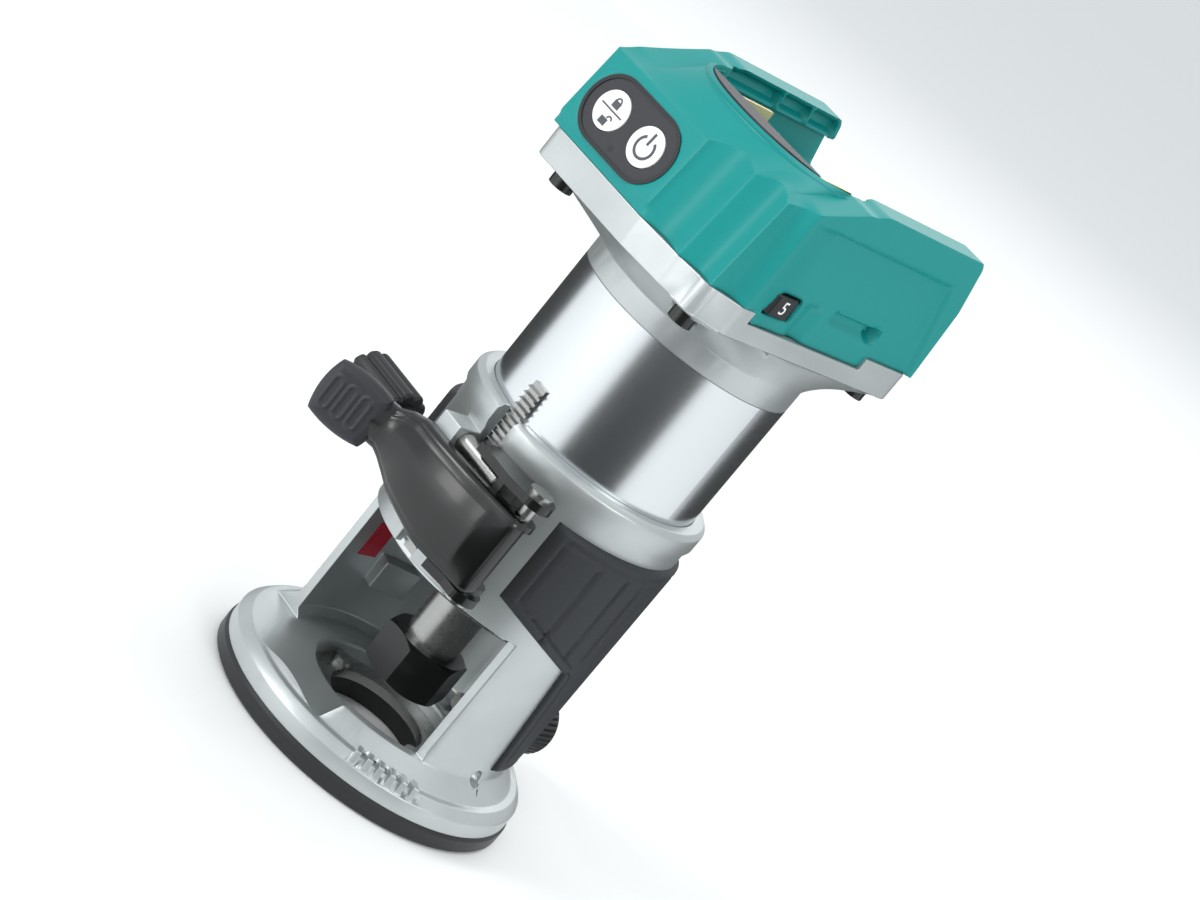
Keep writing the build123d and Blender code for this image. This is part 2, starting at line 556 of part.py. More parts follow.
with BuildPart() as head_housing:
    top_y = head_front + (189.8 - head_low) * tan(radians(lean))
    with BuildSketch(Plane.YZ):
        with BuildLine():
            Line((head_front, head_low), (top_y, 189.8))
            ThreePointArc((top_y, 189.8), (-43.8, 195.2), (-38, 199))
            Polyline((-38, 199), (-20, head_top), (30, head_top), (33.5, 199.7), (38, 187),
                     (head_rear, head_low), (head_front, head_low))
        make_face()
    extrude(amount=head_half, both=True)
    with BuildSketch(Plane.XY.offset(head_low - 1)):
        add(head_plan())
    extrude(amount=50, mode=Mode.INTERSECT)
    fillet(head_housing.edges().filter_by(Axis.Z).group_by(Axis.Y)[-1], 3)
    # Raised flat face around the buttons.
    with BuildSketch(pod_plane):
        with Locations((0.275, 1.35)):
            Rectangle(40.05, 21.7)
    extrude(amount=-1.2)
    # Hollow below the cradle floor, behind a front wall that leans with the face.
    with BuildPart(mode=Mode.PRIVATE) as hollow:
        with BuildSketch(Plane.XY.offset(head_low)):
            add(head_plan(head_wall + 0.6))
        extrude(amount=cradle_z - head_wall - head_low)
        with BuildSketch(pod_plane.offset(-9)):
            Rectangle(200, 200)
        extrude(amount=30, mode=Mode.SUBTRACT)
    add(hollow.part, mode=Mode.SUBTRACT)
    # Battery cradle: round in front, open at the rear, with lips along both rails.
    with Locations((0, crest_y + 45, cradle_z)):
        Box(61, 90, 9.5, align=LOW, mode=Mode.SUBTRACT)
        Box(54, 90, 30, align=LOW, mode=Mode.SUBTRACT)
    with BuildSketch(Plane.XY.offset(cradle_z)):
        with Locations((0, crest_y)):
            Ellipse(27, 19)
    extrude(amount=30, mode=Mode.SUBTRACT)
    # Three finger flutes between the ridges, the first two leaning with the front face.
    for start, end in zip(front_corners, front_corners[1:]):
        edge = Vector(end[0] - start[0], end[1] - start[1], 0)
        outward = Vector(edge.Y, -edge.X, 0).normalized()
        flute_r = (edge.length ** 2 / 4 + flute_depth ** 2) / (2 * flute_depth)
        centre = Vector(*start, 0) + edge / 2 + outward * (flute_r - flute_depth)
        tilt = -lean if end[0] < head_half else 0
        with Locations(Location((centre.X, centre.Y, head_low), (tilt, 0, 0))):
            Cylinder(flute_r, 40, align=LOW, mode=Mode.SUBTRACT)
    # Recessed side panels with a slanted rear edge.
    with BuildSketch(Plane.YZ.offset(head_half - panel_sink)):
        Polygon(*panel_corners, align=None)
    extrude(amount=5, mode=Mode.SUBTRACT)
    with BuildSketch(Plane.YZ.offset(panel_sink - head_half)):
        Polygon(*panel_corners, align=None)
    extrude(amount=-5, mode=Mode.SUBTRACT)
    # Opening behind the buttons.
    with BuildSketch(pod_plane):
        SlotOverall(pod_length + 2, pod_width + 2)
    extrude(amount=-1.6, mode=Mode.SUBTRACT)
    with BuildSketch(pod_plane.offset(-1.6)):
        SlotOverall(pod_length - 1.6, pod_width - 1.6)
    extrude(amount=-8, mode=Mode.SUBTRACT)
    # Window for the speed dial in the side wall, which steps down over the casting.
    with Locations((head_half - 1.8, -5.8, 162.2)):
        Box(3.6, 50.2, head_low - 162.2, align=LOW)
    with Locations((head_half, dial_y, dial_low - 0.3)):
        Box(14, 15, dial_high - dial_low + 0.6, align=LOW, mode=Mode.SUBTRACT)
    with Locations((dial_x, dial_y, dial_low - 0.3)):
        Cylinder(dial_r + 0.5, dial_high - dial_low + 0.6, align=LOW, mode=Mode.SUBTRACT)
    # Screw posts.
    with Locations(*[(x, y, head_low) for x, y in head_screw_spots]):
        Cylinder(4.2, 6.5, align=LOW)
    with Locations(*[(x, y, head_low) for x, y in head_screw_spots]):
        Cylinder(1.9, 6.5, align=LOW, mode=Mode.SUBTRACT)
save(head_housing, "head_housing")

with BuildPart() as head_screws:
    with Locations(*[(x, y, 153.0) for x, y in head_screw_spots]):
        Cylinder(3.4, 3.5, align=LOW)
    with Locations(*[(x, y, 156.5) for x, y in head_screw_spots]):
        Cylinder(1.9, 15, align=LOW)
    with Locations(*[(x, y, 153.0) for x, y in head_screw_spots]):
        Cylinder(1.4, 1.8, align=LOW, mode=Mode.SUBTRACT)
save(head_screws, "head_screws")

# ---- button panel -----------------------------------------------------------------------------------
button_gap, button_r = 15.2, 5.4
button_names = {"lock_button": -button_gap / 2, "power_button": button_gap / 2}

with BuildPart() as button_bezel:
    with BuildSketch(pod_plane.offset(-1.6)):
        SlotOverall(pod_length + 2, pod_width + 2)
        SlotOverall(pod_length, pod_width, mode=Mode.SUBTRACT)
    extrude(amount=1.8)
save(button_bezel, "button_bezel")

with BuildPart() as button_panel:
    with BuildSketch(pod_plane.offset(-1.6)):
        SlotOverall(pod_length, pod_width)
        with Locations((-button_gap / 2, 0), (button_gap / 2, 0)):
            Circle(button_r + 0.2, mode=Mode.SUBTRACT)
        with Locations((0, -6.6)):
            Circle(0.9, mode=Mode.SUBTRACT)
    extrude(amount=1.5)
save(button_panel, "button_panel")

for button_name, shift in button_names.items():
    with BuildPart() as button:
        with BuildSketch(pod_plane.offset(-3.4)):
            with Locations((shift, 0)):
                Circle(button_r)
        extrude(amount=3.6)
        with BuildSketch(pod_plane.offset(-4.4)):
            with Locations((shift, 0)):
                Circle(2.0)
        extrude(amount=1.0)
    save(button, button_name)

with BuildPart() as status_lens:
    with BuildSketch(pod_plane.offset(-3.0)):
        with Locations((0, -6.6)):
            Circle(0.9)
    extrude(amount=2.9)
save(status_lens, "status_lens")

with BuildPart() as button_switches:
    with BuildSketch(pod_plane.offset(-8.0)):
        Rectangle(25, 8)
    extrude(amount=1.4)
    with BuildSketch(pod_plane.offset(-6.6)):
        with Locations((-button_gap / 2, 0), (button_gap / 2, 0)):
            Rectangle(6, 6)
    extrude(amount=1.0)
save(button_switches, "button_switches")

# ---- speed dial -------------------------------------------------------------------------
with BuildPart() as dial_axle:
    with Locations((dial_x, dial_y, 163.0)):
        Cylinder(1.5, 12.6, align=LOW)
save(dial_axle, "dial_axle")

with BuildPart() as speed_dial:
    with Locations((dial_x, dial_y, dial_low)):
        Cylinder(dial_r, dial_high - dial_low, align=LOW)
        Cylinder(1.5 + run_clear, dial_high - dial_low, align=LOW, mode=Mode.SUBTRACT)
    with Locations((dial_x, dial_y, 0)):
        with PolarLocations(dial_r + 0.2, 20, start_angle=9):
            Cylinder(0.5, 400, mode=Mode.SUBTRACT)
save(speed_dial, "speed_dial")

# ---- battery terminals and the controller -------------------------------------------------
with BuildPart() as terminal_cover:
    with BuildSketch(Plane.YZ):
        Polygon((-40, cradle_z), (-27, cradle_z), (-27, 197.5), (-30, 199.4), (-40, 199.4),
                align=None)
    extrude(amount=27, both=True)
    with BuildSketch(Plane.XY.offset(cradle_z)):
        with Locations((0, crest_y)):
            Ellipse(26.8, 18.8)
    extrude(amount=20, mode=Mode.INTERSECT)
save(terminal_cover, "terminal_cover")

with BuildPart() as terminal_block:
    with Locations((0, -16, cradle_z)):
        Box(44, 21, 5, align=LOW)
save(terminal_block, "terminal_block")

with BuildPart() as terminal_blades:
    with Locations(*[(x, -16, cradle_z + 5) for x in (-17, 17)]):
        Box(1.2, 17, 6.5, align=LOW)
    with Locations(*[(x, -16, cradle_z + 5) for x in (-9, 0, 9)]):
        Box(0.8, 11, 4.5, align=LOW)
save(terminal_blades, "terminal_blades")

with BuildPart() as catch_plate:
    with Locations((0, 31, cradle_z)):
        Box(22, 8, 1.2, align=LOW)
    with Locations((0, 27.4, cradle_z + 1.2)):
        Box(22, 0.8, 2.4, align=LOW)
save(catch_plate, "catch_plate")

with BuildPart() as controller_board:
    with Locations((-1, -2, 176)):
        Box(56, 64, 1.6, align=LOW)
save(controller_board, "controller_board")

with BuildPart() as board_parts:
    with Locations((-16, 16, 177.6), (-4, 16, 177.6)):
        Cylinder(4.6, 5.2, align=LOW)
    with Locations(*[(10 + 7 * a, 8 + 9 * b, 177.6) for a in range(2) for b in range(3)]):
        Box(5, 6, 1.4, align=LOW)
    with Locations((4, -18, 177.6)):
        Box(10, 10, 1.2, align=LOW)
save(board_parts, "board_parts")

with BuildPart() as motor_leads:
    with Locations(*[polar(24.5, a, 122) for a in (70, 90, 110)]):
        Cylinder(1.2, 54, align=LOW)
save(motor_leads, "motor_leads")
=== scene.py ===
"""Cordless trim router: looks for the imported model, piece by piece, in the model's own frame.

Sizes are in millimetres and are turned to metres where a mesh is made. +Z runs up the spindle,
the front faces -Y, the speed dial is on the +X side and the battery slides in from +Y.
"""

from math import cos, pi, radians, sin, sqrt, tan

import bmesh
import bpy
import numpy as np
from mathutils import Matrix, Vector


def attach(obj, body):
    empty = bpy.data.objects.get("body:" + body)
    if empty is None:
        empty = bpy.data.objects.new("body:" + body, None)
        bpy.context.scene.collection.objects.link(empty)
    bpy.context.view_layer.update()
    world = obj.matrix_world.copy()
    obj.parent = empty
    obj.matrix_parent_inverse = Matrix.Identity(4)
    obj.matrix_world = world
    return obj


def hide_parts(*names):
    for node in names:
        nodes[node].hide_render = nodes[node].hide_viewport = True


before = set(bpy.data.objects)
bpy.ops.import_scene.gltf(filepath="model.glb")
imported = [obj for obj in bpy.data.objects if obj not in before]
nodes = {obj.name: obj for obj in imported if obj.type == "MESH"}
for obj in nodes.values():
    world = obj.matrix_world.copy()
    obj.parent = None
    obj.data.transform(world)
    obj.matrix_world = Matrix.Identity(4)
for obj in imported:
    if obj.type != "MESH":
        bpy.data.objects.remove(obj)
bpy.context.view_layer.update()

# ---- camera, floor and light -------------------------------------------------------------------
# A long lens looks down a little on the front right of the tool, which leans in the picture.
TURN, DOWN, ROLL = 35.2532, 0.271542928, 0.688372160
DISTANCE, AIM_HEIGHT, OFFSET_X, OFFSET_Y = 831.02, 90.0, -2.2418, -11.4910

turn = Matrix.Rotation(radians(TURN), 3, "Z")
right = Vector((1, 0, 0))
ahead = Vector((0, cos(DOWN), -sin(DOWN)))
up = Vector((0, sin(DOWN), cos(DOWN)))
place = turn @ (Vector((0, 0, AIM_HEIGHT)) - ahead * DISTANCE - right * OFFSET_X - up * OFFSET_Y)
axes = Matrix((turn @ (cos(ROLL) * right + sin(ROLL) * up),
               turn @ (cos(ROLL) * up - sin(ROLL) * right),
               turn @ -ahead)).transposed()
camera = bpy.data.objects.new("camera", bpy.data.cameras.new("camera"))
camera.data.lens = 96.27
camera.data.clip_start, camera.data.clip_end = 0.05, 60.0
camera.matrix_world = Matrix.Translation(place / 1000) @ axes.to_4x4()
bpy.context.scene.collection.objects.link(camera)
bpy.context.scene.camera = camera


def linear(hex_text):
    """An sRGB hex colour as the linear RGBA list that a shader socket takes."""
    parts = [int(hex_text[i:i + 2], 16) / 255 for i in (0, 2, 4)]
    return [p / 12.92 if p <= 0.04045 else ((p + 0.055) / 1.055) ** 2.4 for p in parts] + [1.0]


def add(tree, kind, inputs=None, **settings):
    """Adds a shader node; an input takes a value, or a (node, output) pair to link from."""
    made = tree.nodes.new(kind)
    for key, value in settings.items():
        setattr(made, key, value)
    for key, value in (inputs or {}).items():
        if isinstance(value, tuple) and isinstance(value[0], bpy.types.Node):
            tree.links.new(value[0].outputs[value[1]], made.inputs[key])
        else:
            made.inputs[key].default_value = value
    return made


def material(name, hex_text, roughness, metallic=0.0, **more):
    """A new material with its Principled shader set; returns the material, tree and shader."""
    made = bpy.data.materials.new(name)
    made.use_nodes = True
    tree = made.node_tree
    shader = tree.nodes["Principled BSDF"]
    shader.inputs["Base Color"].default_value = linear(hex_text)
    shader.inputs["Roughness"].default_value = roughness
    shader.inputs["Metallic"].default_value = metallic
    for key, value in more.items():
        shader.inputs[key.replace("_", " ")].default_value = value
    return made, tree, shader


# Pale seamless floor, wide enough to fill the view.
pale, _, _ = material("pale_floor", "f4f5f5", 0.9)
floor_mesh = bpy.data.meshes.new("floor")
floor_corners = [(x, y, -0.0002) for x, y in ((-30, -30), (30, -30), (30, 30), (-30, 30))]
floor_mesh.from_pydata(floor_corners, [], [(0, 1, 2, 3)])
floor_mesh.materials.append(pale)
floor = bpy.data.objects.new("floor", floor_mesh)
bpy.context.scene.collection.objects.link(floor)


def soft_light(name, where, size, power, tint="ffffff"):
    """A square area light, in metres, that faces the middle of the tool."""
    lamp = bpy.data.lights.new(name, "AREA")
    lamp.shape, lamp.size, lamp.energy = "SQUARE", size, power
    lamp.color = linear(tint)[:3]
    holder = bpy.data.objects.new(name, lamp)
    holder.location = where
    aim = Vector((0, 0, 0.11)) - Vector(where)
    holder.rotation_euler = aim.to_track_quat("-Z", "Y").to_euler()
    bpy.context.scene.collection.objects.link(holder)


soft_light("key_left", (-0.55, -1.0, 0.9), 0.5, 6.5)
soft_light("low_strip", (-0.25, -1.1, 0.2), 0.3, 1.8)
soft_light("fill_right", (1.2, -0.2, 0.7), 0.5, 4)
soft_light("top", (0.0, 0.3, 1.5), 0.8, 5)
soft_light("rear", (-0.6, 1.2, 0.9), 0.8, 3)
world = bpy.data.worlds.new("studio")
world.use_nodes = True
world.node_tree.nodes["Background"].inputs["Color"].default_value = linear("e6eaec")
world.node_tree.nodes["Background"].inputs["Strength"].default_value = 0.95
bpy.context.scene.world = world
bpy.context.scene.view_settings.view_transform = "Standard"

# Black cards that lie on the floor around the tool and show only in its bright metal.
black_card, _, _ = material("black_card", "050505", 1.0)
front = TURN - 90
corners, fans = [], []
for low, high in ((front - 20, front + 42), (front + 112, front + 250)):
    bearings = [radians(low + (high - low) * i / 24) for i in range(25)]
    fans += [(len(corners) + i, len(corners) + i + 1, len(corners) + i + 26, len(corners) + i + 25)
             for i in range(24)]
    corners += [(0.075 * cos(a), 0.075 * sin(a), 0.0001) for a in bearings]
    corners += [(1.2 * cos(a), 1.2 * sin(a), 0.0001) for a in bearings]
card_mesh = bpy.data.meshes.new("black_cards")
card_mesh.from_pydata(corners, [], fans)
card_mesh.materials.append(black_card)
cards = bpy.data.objects.new("black_cards", card_mesh)
cards.visible_camera = cards.visible_diffuse = cards.visible_shadow = False
cards.visible_transmission = False
bpy.context.scene.collection.objects.link(cards)


# ---- base casting and the castings of the motor unit -------------------------------------------
# Die-cast aluminium, shot-blasted and clear coated: a satin silver with a fine even grain.
GRIT = 0.35


def cast_aluminium(name, hex_text, roughness):
    """Blasted cast metal: fine noise bumps at the grit's size and a faint cloudy tone."""
    made, tree, shader = material(name, hex_text, roughness, 0.75)
    where = add(tree, "ShaderNodeTexCoord")
    grit = add(tree, "ShaderNodeTexNoise", {"Vector": (where, "Object"), "Scale": 1000 / GRIT,
                                            "Detail": 2.0})
    cloud = add(tree, "ShaderNodeTexNoise", {"Vector": (where, "Object"), "Scale": 45.0,
                                             "Detail": 3.0})
    dark, light = [c * 0.90 for c in linear(hex_text)[:3]] + [1], linear(hex_text)
    tone = add(tree, "ShaderNodeValToRGB", {"Fac": (cloud, "Fac")})
    tone.color_ramp.elements[0].position, tone.color_ramp.elements[1].position = 0.35, 0.65
    tone.color_ramp.elements[0].color, tone.color_ramp.elements[1].color = dark, light
    bump = add(tree, "ShaderNodeBump", {"Height": (grit, "Fac"), "Strength": 0.25,
                                        "Distance": 0.00006})
    rough = add(tree, "ShaderNodeMapRange", {"Value": (grit, "Fac"), "To Min": roughness - 0.05,
                                             "To Max": roughness + 0.07})
    tree.links.new(tone.outputs["Color"], shader.inputs["Base Color"])
    tree.links.new(rough.outputs["Result"], shader.inputs["Roughness"])
    tree.links.new(bump.outputs["Normal"], shader.inputs["Normal"])
    return made


def dress(finish, *names):
    """Gives CAD nodes a finish in place of the plain one they come with."""
    for name in names:
        slots = nodes[name].material_slots
        for slot in slots:
            slot.material = finish


def soften(name, finish, radius, body, sharp=32.0):
    """A copy of a CAD node with its triangles joined up and a small radius on every edge
    that turns by more than the given angle."""
    shape = bmesh.new()
    shape.from_mesh(nodes[name].data)
    shape.transform(nodes[name].matrix_world)
    bmesh.ops.remove_doubles(shape, verts=shape.verts, dist=0.00001)
    bmesh.ops.dissolve_limit(shape, angle_limit=radians(0.6), verts=shape.verts, edges=shape.edges)
    mesh = bpy.data.meshes.new(name + "_softened")
    shape.to_mesh(mesh)
    shape.free()
    mesh.shade_smooth()
    mesh.set_sharp_from_angle(angle=radians(sharp + 20))
    mesh.materials.clear()
    mesh.materials.append(finish)
    piece = bpy.data.objects.new(name + "_softened", mesh)
    bpy.context.scene.collection.objects.link(piece)
    rounding = piece.modifiers.new("edge_radius", "BEVEL")
    rounding.limit_method, rounding.angle_limit = "ANGLE", radians(sharp)
    rounding.width, rounding.segments = radius / 1000, 3
    rounding.use_clamp_overlap = False
    rounding.harden_normals = True
    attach(piece, body)
    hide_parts(name)
    return piece


cast = cast_aluminium("blasted_cast_aluminium", "c3c8c8", 0.40)
dress(cast, "bearing_carrier")
soften("base_casting", cast, 0.35, "base")
soften("neck_bracket", cast, 0.35, "motor_unit")

# ---- motor tube --------------------------------------------------------------------------------
# Aluminium tube turned bright: fine rings around it stretch each highlight along its length.
bright, tree, shader = material("turned_aluminium_tube", "d9dde0", 0.24, 1.0, Anisotropic=0.35)
where = add(tree, "ShaderNodeTexCoord")
split = add(tree, "ShaderNodeSeparateXYZ", {"Vector": (where, "Object")})
lines = add(tree, "ShaderNodeTexNoise", {"W": (split, "Z"), "Scale": 2600.0, "Detail": 3.0},
            noise_dimensions="1D")
rough = add(tree, "ShaderNodeMapRange", {"Value": (lines, "Fac"), "To Min": 0.19, "To Max": 0.25})
bump = add(tree, "ShaderNodeBump", {"Height": (lines, "Fac"), "Strength": 0.02, "Distance": 0.00001})
tree.links.new(rough.outputs["Result"], shader.inputs["Roughness"])
tree.links.new(bump.outputs["Normal"], shader.inputs["Normal"])
around = add(tree, "ShaderNodeTangent", direction_type="RADIAL", axis="Z")
tree.links.new(around.outputs["Tangent"], shader.inputs["Tangent"])
dress(bright, "motor_tube")

# ---- machined steel parts ----------------------------------------------------------------------
# Plain carbon steel, ground or zinc plated: grey and glossy with fine cutting marks.
steel, tree, shader = material("machined_steel", "a9aaa8", 0.28, 1.0)
where = add(tree, "ShaderNodeTexCoord")
marks = add(tree, "ShaderNodeTexNoise", {"Vector": (where, "Object"), "Scale": 900.0, "Detail": 3.0})
rough = add(tree, "ShaderNodeMapRange", {"Value": (marks, "Fac"), "To Min": 0.2, "To Max": 0.4})
tree.links.new(rough.outputs["Result"], shader.inputs["Roughness"])
dress(steel, "guide_ring", "rack", "clamp_barrel", "lever_pin", "pinion_shaft", "drive_pinion",
      "shaft_nut", "guide_screw", "guide_washer", "spindle", "collet", "lower_bearing",
      "upper_bearing", "bearing_retainer", "catch_plate", "dial_axle", "guide_ring_screws")

black_steel, tree, shader = material("black_enamelled_steel", "09090a", 0.3, 0.0,
                                     Coat_Weight=0.25, Coat_Roughness=0.12)
where = add(tree, "ShaderNodeTexCoord")
peel = add(tree, "ShaderNodeTexNoise", {"Vector": (where, "Object"), "Scale": 500.0, "Detail": 2.0})
bump = add(tree, "ShaderNodeBump", {"Height": (peel, "Fac"), "Strength": 0.15, "Distance": 0.00008})
tree.links.new(bump.outputs["Normal"], shader.inputs["Normal"])
dress(black_steel, "link_bracket", "collet_nut", "head_screws", "sole_screws")

# ---- mouldings ---------------------------------------------------------------------------------
# Injection moulded nylon and ABS, rubber pads, and white film on the buttons. The mould's
# spark-eroded skin leaves a fine even grain with soft highlights.


def moulding(name, hex_text, roughness, texture=0.25, strength=0.2, **more):
    """Moulded plastic: spark-eroded grain as a fine bump, with a slight change of gloss."""
    made, tree, shader = material(name, hex_text, roughness, **more)
    where = add(tree, "ShaderNodeTexCoord")
    grain = add(tree, "ShaderNodeTexNoise", {"Vector": (where, "Object"), "Scale": 1000 / texture,
                                             "Detail": 2.0})
    rough = add(tree, "ShaderNodeMapRange", {"Value": (grain, "Fac"), "To Min": roughness - 0.06,
                                             "To Max": roughness + 0.06})
    bump = add(tree, "ShaderNodeBump", {"Height": (grain, "Fac"), "Strength": strength,
                                        "Distance": 0.00005})
    tree.links.new(rough.outputs["Result"], shader.inputs["Roughness"])
    tree.links.new(bump.outputs["Normal"], shader.inputs["Normal"])
    return made


teal = moulding("teal_glass_filled_nylon", "048a87", 0.40, Specular_IOR_Level=0.35)
black_plastic = moulding("black_moulded_plastic", "1c1d1f", 0.45)
dress(black_plastic, "sole_plate", "button_bezel", "terminal_block", "cooling_fan",
      "board_parts", "button_switches", "status_lens")
grey_plastic = moulding("charcoal_moulded_plastic", "2b2b30", 0.5)
dress(grey_plastic, "terminal_cover", "button_panel")
rubber = moulding("black_grip_rubber", "25282b", 0.62, 0.5, 0.5)
red_plastic = moulding("red_moulded_plastic", "b3142f", 0.35)
dress(red_plastic, "red_key")
white_film = moulding("white_printed_film", "e9ebec", 0.3)
dress(white_film, "lock_button", "power_button")

# ---- head housing ------------------------------------------------------------------------------
# The teal moulding on the neck: a flat button face at the front left, three finger flutes
# around the front right corner, a sloping deck, two rails with the battery cradle between
# them, recessed side panels and a window for the speed dial. A skin of even thickness.
SIDE, LOW, TOP, FLOOR = 35.25, 165.5, 201.5, 186.0
LIP_X, GROOVE_X, LIP_LOW, CREST_Y, CORNER_X = 27.0, 30.5, 195.5, -20.0, 30.0
LEAN = tan(radians(8.0))
WALL = np.concatenate([np.linspace(LOW, FLOOR, 26), np.linspace(FLOOR, LIP_LOW, 13)[1:],
                       np.linspace(LIP_LOW, TOP, 8)[1:]])
RAIL = np.array([34.3, 33.35, 32.4, 31.45, 30.5, 29.3, 28.1])


def step(value, edge, width=0.8):
    """Rises smoothly from 0 to 1 where value passes edge, over the given width."""
    t = np.clip((value - edge) / width + 0.5, 0, 1)
    return t * t * (3 - 2 * t)


def band(value, low, high, width=0.8):
    """1 between low and high and 0 outside, with smooth ends."""
    return step(value, low, width) * (1 - step(value, high, width))


def quads(rows, columns, start=0, wrap=False, skip=None):
    """Quads of a rows x columns grid of points numbered from start; wrap joins the last
    column to the first, and skip(row, column) leaves a quad out."""
    made = []
    for r in range(rows - 1):
        for c in range(columns if wrap else columns - 1):
            if skip is None or not skip(r, c):
                d = (c + 1) % columns
                made.append((start + r * columns + c, start + r * columns + d,
                             start + (r + 1) * columns + d, start + (r + 1) * columns + c))
    return made


def make_piece(name, points, faces, finish, body, sharp=40.0):
    """A mesh from millimetre points and faces: equal points are merged, faces that this
    flattens are dropped, and all faces turn outward. It rides on the given body."""
    unique, back = np.unique(np.round(np.asarray(points, float), 4), axis=0, return_inverse=True)
    back = back.reshape(-1)
    kept = []
    for face in faces:
        loop = [int(back[i]) for i in face]
        loop = [a for a, b in zip(loop, loop[1:] + loop[:1]) if a != b]
        if len(loop) > 2 and len(set(loop)) == len(loop):
            kept.append(loop)
    mesh = bpy.data.meshes.new(name)
    mesh.from_pydata((unique / 1000).tolist(), [], kept)
    shape = bmesh.new()
    shape.from_mesh(mesh)
    bmesh.ops.recalc_face_normals(shape, faces=shape.faces)
    shape.to_mesh(mesh)
    shape.free()
    mesh.shade_smooth()
    mesh.set_sharp_from_angle(angle=radians(sharp))
    mesh.materials.append(finish)
    piece = bpy.data.objects.new(name, mesh)
    bpy.context.scene.collection.objects.link(piece)
    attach(piece, body)
    return piece


def front_wall(x, z):
    """Y of the front wall: flat button face left of x 4.8, two flutes and a bow right of it."""
    rise = (z - LOW) * LEAN
    flat = -52.13 + rise + 0.9 * (1 - step(z, 168.4, 1.4))
    bow = 4.9 * (np.clip(x, 0, None) / CORNER_X) ** 2
    cut = 0.0
    for low, high, depth in ((4.4, 19.0, 2.3), (19.0, 30.0, 2.0)):
        cut = cut + depth * np.sin(pi * np.clip((x - low) / (high - low), 0, 1)) ** 1.2
    return np.where(x < 4.8, flat, -51.4 + bow + cut + rise)


def deck_edge(x):
    """Height of the front wall's top edge: where the wall runs into the sloping deck."""
    return 190.0 + 0.95 * (front_wall(x, 190.0) + 48.4) - 3.0 * (np.clip(x, 0, None) / 30) ** 4


def rear_face(z):
    """Y of the rear end, which leans in towards the top and rounds over the rails."""
    return np.interp(z, [LOW, 187.0, 200.0, TOP], [40.6, 38.0, 33.5, 32.0])


def side_relief(side, y, z):
    """How far the side wall is sunk: a panel with a slanted rear edge; on the dial side also
    a scoop beside the dial and a slot."""
    deep = 1.5 * (1 - step(z, 192.1)) * (1 - step(y - 0.41 * (189.8 - z), 29.3, 1.6))
    deep = deep * step(y, -30.0, 14.0)
    if side > 0:
        deep = deep + 1.5 * np.exp(-((y + 11.0) / 3.0) ** 2) * band(z, 150, 172.4)
        deep = deep + 1.8 * band(y, -2.6, 18.2) * band(z, 169.8, 172.9) \
            + 2.6 * band(y, 14.4, 18.2) * band(z, 169.8, 172.9)
    return deep


